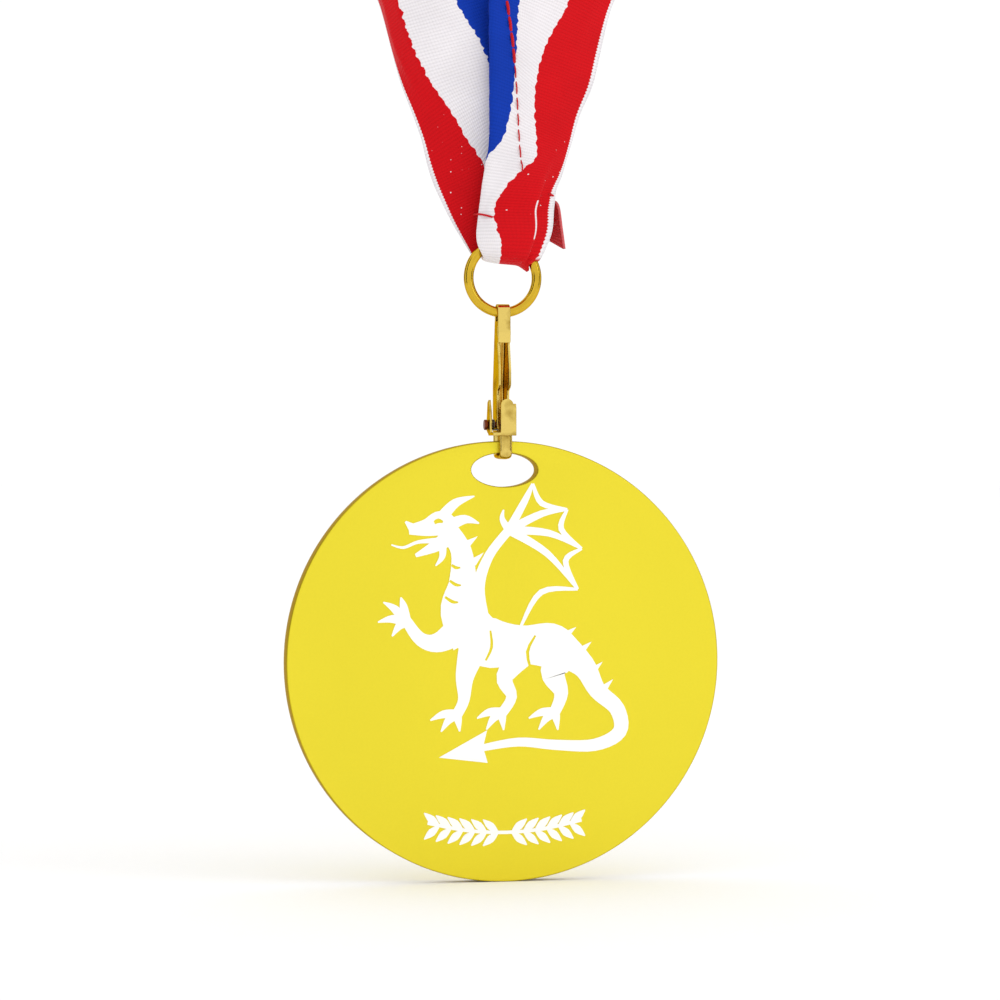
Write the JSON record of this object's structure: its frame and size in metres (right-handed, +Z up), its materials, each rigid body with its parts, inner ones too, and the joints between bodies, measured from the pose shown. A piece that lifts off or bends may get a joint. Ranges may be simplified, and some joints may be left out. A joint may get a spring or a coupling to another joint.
{
  "type": "award medal",
  "caption": "Round flat award medal with a printed motif, hung by a sprung snap hook and a jump ring from a striped neck ribbon.",
  "frame": {"origin": "middle of the ribbon at the nape, where a neck holds it up", "axes": "+Z up, the face of the medal looks towards -Y, +X to the viewer's right"},
  "size_m": [0.1782, 0.1034, 0.423],
  "materials": {
    "ribbon_cloth": "ribbed polyester ribbon printed in red, white and blue bands",
    "red_thread": "spun sewing thread",
    "gold_plate": "bright gold plate on stamped brass",
    "copper": "dull copper rivet",
    "spring_steel": "drawn spring wire",
    "gold_disc": "satin yellow-gold anodised sheet",
    "white_ink": "white printed ink"
  },
  "bodies": {
    "ribbon": {"neck_ribbon": "ribbon_cloth", "seam_thread": "red_thread", "loop_binding": "red_thread"},
    "ring": {"jump_ring": "gold_plate"},
    "hook": {"hook_body": "gold_plate", "hook_rivet": "copper", "gate_spring": "spring_steel"},
    "gate": {"hook_gate": "gold_plate"},
    "disc": {"medal_disc": "gold_disc", "dragon_motif": "white_ink", "sprig_motif": "white_ink"}
  },
  "joints": [
    {"name": "ring_swing", "type": "hinge", "parent": "ribbon", "child": "ring", "pos_m": [0, -0.09811, -0.31631], "axis": [1, 0, 0], "range_deg": [-20, 20]},
    {"name": "hook_swing", "type": "hinge", "parent": "ring", "child": "hook", "pos_m": [0, -0.09811, -0.32655], "axis": [1, 0, 0], "range_deg": [-90, 90]},
    {"name": "gate_press", "type": "hinge", "parent": "hook", "child": "gate", "pos_m": [0, -0.09751, -0.34313], "axis": [1, 0, 0], "range_deg": [-30, 0], "stiffness_Nm_per_rad": 0.004, "springref_deg": 20.05},
    {"name": "disc_swing", "type": "hinge", "parent": "hook", "child": "disc", "pos_m": [0, -0.09811, -0.34788], "axis": [0, 1, 0], "range_deg": [-20, 20]}
  ]
}
